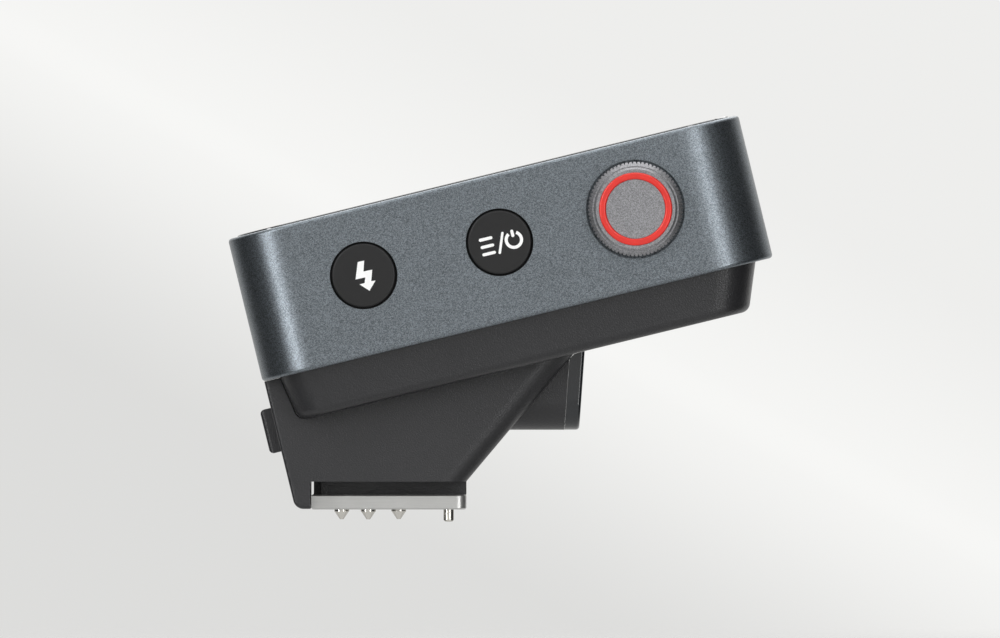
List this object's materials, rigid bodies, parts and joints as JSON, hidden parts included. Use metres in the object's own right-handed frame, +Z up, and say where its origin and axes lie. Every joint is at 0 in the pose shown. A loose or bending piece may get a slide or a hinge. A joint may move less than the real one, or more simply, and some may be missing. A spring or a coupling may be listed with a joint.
{
  "type": "wireless flash trigger",
  "caption": "Wireless flash trigger: a tilted screen slab with side buttons and a press-and-turn dial, on a wedge with a hot-shoe foot, spring contacts and a lock-pin release.",
  "frame": {"origin": "centre of the shoe foot's underside", "axes": "+X towards the subject, the way the foot slides into the shoe; +Y to the viewer's left; +Z up"},
  "size_m": [0.0727, 0.0467, 0.0544],
  "materials": {
    "shell": "satin",
    "case": "fine texture",
    "glass": "polished",
    "display": "polished",
    "adhesive": "matte",
    "flex": "satin",
    "board": "satin",
    "chip": "matte",
    "shield": "satin",
    "cell": "satin",
    "socket": "satin",
    "insulator": "matte",
    "button": "satin",
    "dial": "satin",
    "ring": "gloss",
    "steel": "turned",
    "window": "polished",
    "diode": "gloss",
    "foot": "brushed",
    "contact": "polished",
    "screw": "black"
  },
  "bodies": {
    "housing": {"upper_shell": "shell", "lower_case": "case", "screen_glass": "glass", "glass_gasket": "adhesive", "display_panel": "display", "display_ribbon": "flex", "main_board": "board", "rf_shield": "shield", "board_chips": "chip", "buzzer": "chip", "battery": "cell", "usb_socket": "socket", "usb_tongue": "insulator", "sync_jack": "insulator", "key_board": "board", "test_switch": "shield", "mode_switch": "shield", "encoder_body": "insulator", "shoe_housing": "case", "lamp_window": "window", "lamp_board": "board", "lamp_diode": "diode", "foot_plate": "foot", "shoe_base": "case", "contact_insert": "insulator", "clamp_plate": "steel", "contact_board": "board", "lock_spring": "steel", "case_screws": "screw", "housing_screws": "screw", "foot_screws": "steel", "foot_ribbon": "flex", "contact_spring_front": "steel", "contact_spring_middle_left": "steel", "contact_spring_middle_right": "steel", "contact_spring_rear_left": "steel", "contact_spring_rear_right": "steel"},
    "test_key": {"test_button": "button", "test_plunger": "insulator"},
    "mode_key": {"mode_button": "button", "mode_plunger": "insulator"},
    "dial_carrier": {"encoder_plunger": "steel"},
    "dial": {"encoder_shaft": "steel", "dial_knob": "dial", "dial_ring": "ring"},
    "release": {"release_button": "case", "release_slider": "insulator"},
    "lock": {"lock_pin": "contact"},
    "contact_front": {"contact_pin_front": "contact"},
    "contact_middle_left": {"contact_pin_middle_left": "contact"},
    "contact_middle_right": {"contact_pin_middle_right": "contact"},
    "contact_rear_left": {"contact_pin_rear_left": "contact"},
    "contact_rear_right": {"contact_pin_rear_right": "contact"}
  },
  "joints": [
    {"name": "test_press", "type": "slide", "parent": "housing", "child": "test_key", "axis": [0, 1, 0], "range_m": [0, 0.0004], "stiffness_N_per_m": 500, "springref_m": -0.001},
    {"name": "mode_press", "type": "slide", "parent": "housing", "child": "mode_key", "axis": [0, 1, 0], "range_m": [0, 0.0004], "stiffness_N_per_m": 500, "springref_m": -0.001},
    {"name": "dial_press", "type": "slide", "parent": "housing", "child": "dial_carrier", "axis": [0, 1, 0], "range_m": [0, 0.0005], "stiffness_N_per_m": 500, "springref_m": -0.001},
    {"name": "dial_turn", "type": "hinge", "parent": "dial_carrier", "child": "dial", "pos_m": [0.03295, -0.02, 0.04015], "axis": [0, 1, 0], "continuous": true},
    {"name": "release_press", "type": "slide", "parent": "housing", "child": "release", "axis": [0.9715, 0, 0.2368], "range_m": [0, 0.0012], "stiffness_N_per_m": 800, "springref_m": -0.001},
    {"name": "lock_lift", "type": "slide", "parent": "housing", "child": "lock", "axis": [0, 0, 1], "range_m": [0, 0.0019], "deforming": ["lock_spring"]},
    {"name": "contact_front_press", "type": "slide", "parent": "housing", "child": "contact_front", "axis": [0, 0, 1], "range_m": [0, 0.001], "stiffness_N_per_m": 300, "springref_m": -0.001, "deforming": ["contact_spring_front"]},
    {"name": "contact_middle_left_press", "type": "slide", "parent": "housing", "child": "contact_middle_left", "axis": [0, 0, 1], "range_m": [0, 0.001], "stiffness_N_per_m": 300, "springref_m": -0.001, "deforming": ["contact_spring_middle_left"]},
    {"name": "contact_middle_right_press", "type": "slide", "parent": "housing", "child": "contact_middle_right", "axis": [0, 0, 1], "range_m": [0, 0.001], "stiffness_N_per_m": 300, "springref_m": -0.001, "deforming": ["contact_spring_middle_right"]},
    {"name": "contact_rear_left_press", "type": "slide", "parent": "housing", "child": "contact_rear_left", "axis": [0, 0, 1], "range_m": [0, 0.001], "stiffness_N_per_m": 300, "springref_m": -0.001, "deforming": ["contact_spring_rear_left"]},
    {"name": "contact_rear_right_press", "type": "slide", "parent": "housing", "child": "contact_rear_right", "axis": [0, 0, 1], "range_m": [0, 0.001], "stiffness_N_per_m": 300, "springref_m": -0.001, "deforming": ["contact_spring_rear_right"]}
  ],
  "couplings": [
    {"joint": "lock_lift", "follows": "release_press", "ratio": 1.5833}
  ]
}
